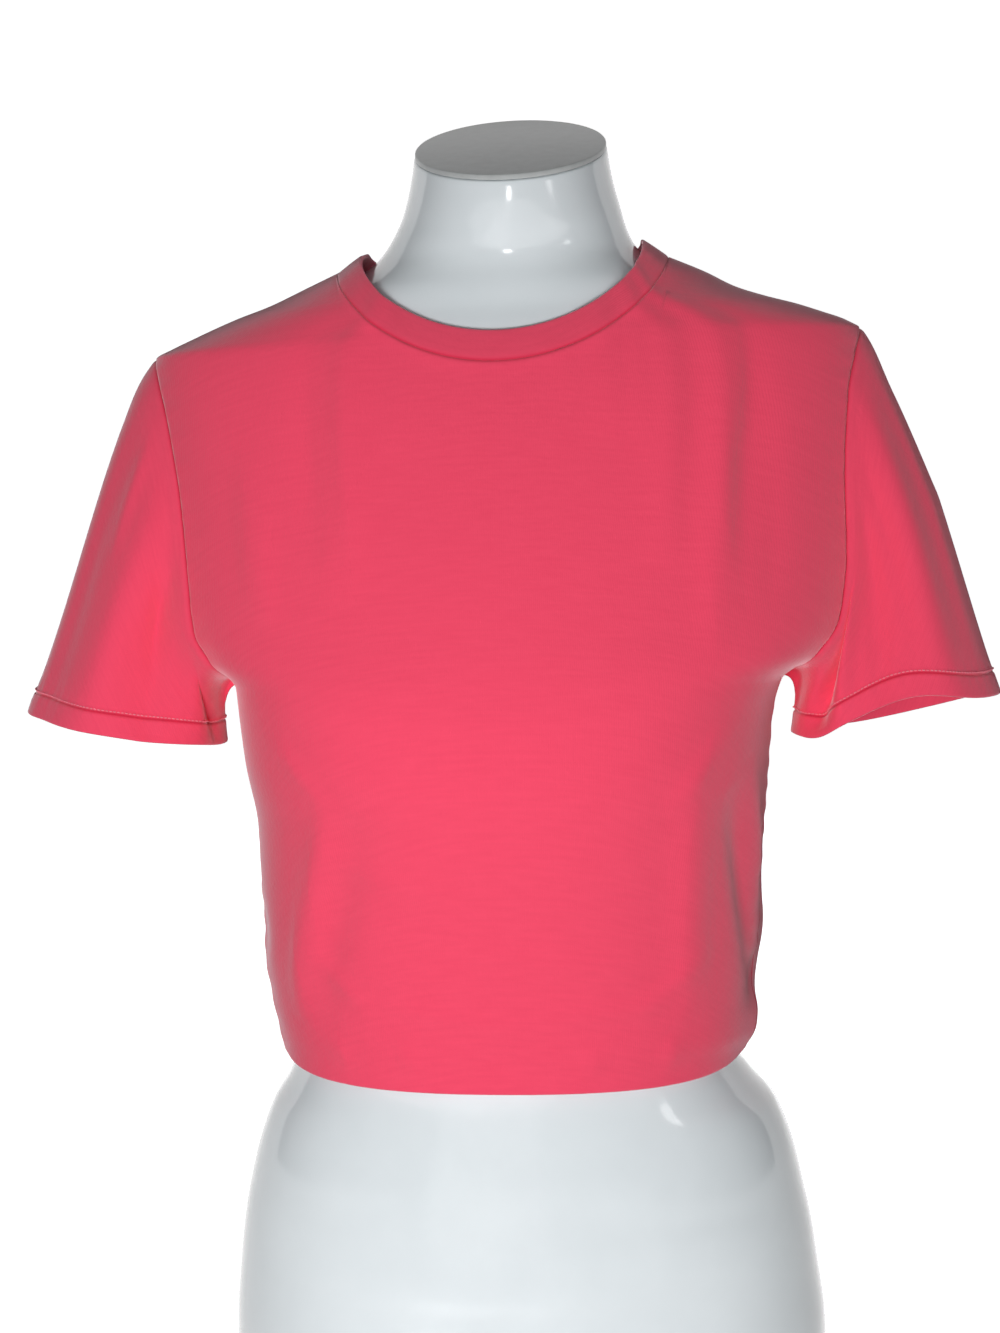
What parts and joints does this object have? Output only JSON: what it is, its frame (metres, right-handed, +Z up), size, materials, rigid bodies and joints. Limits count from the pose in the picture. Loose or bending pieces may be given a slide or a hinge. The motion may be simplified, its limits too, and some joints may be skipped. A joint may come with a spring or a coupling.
{
  "type": "short-sleeved crop top on a limbless dress form",
  "caption": "Short-sleeved crew-neck crop top of stretch knit, worn by a glossy limbless dress form with a flat, sloping neck top and a flat underside to stand on.",
  "frame": {"origin": "centre of the dress form's flat underside, which is the bottom centre of the whole part", "axes": "+Z up, the front of the body faces -Y, and the wearer's left is +X"},
  "size_m": [0.5546, 0.2399, 0.759],
  "materials": {
    "cloth": "smooth stretch knit with a soft satin sheen",
    "form": "high gloss white lacquer",
    "plate": "satin grey"
  },
  "bodies": {
    "root": {"front_panel": "cloth", "back_panel": "cloth", "sleeve_left": "cloth", "sleeve_right": "cloth", "neckband": "cloth", "dress_form": "form", "neck_plate": "plate"}
  },
  "joints": []
}
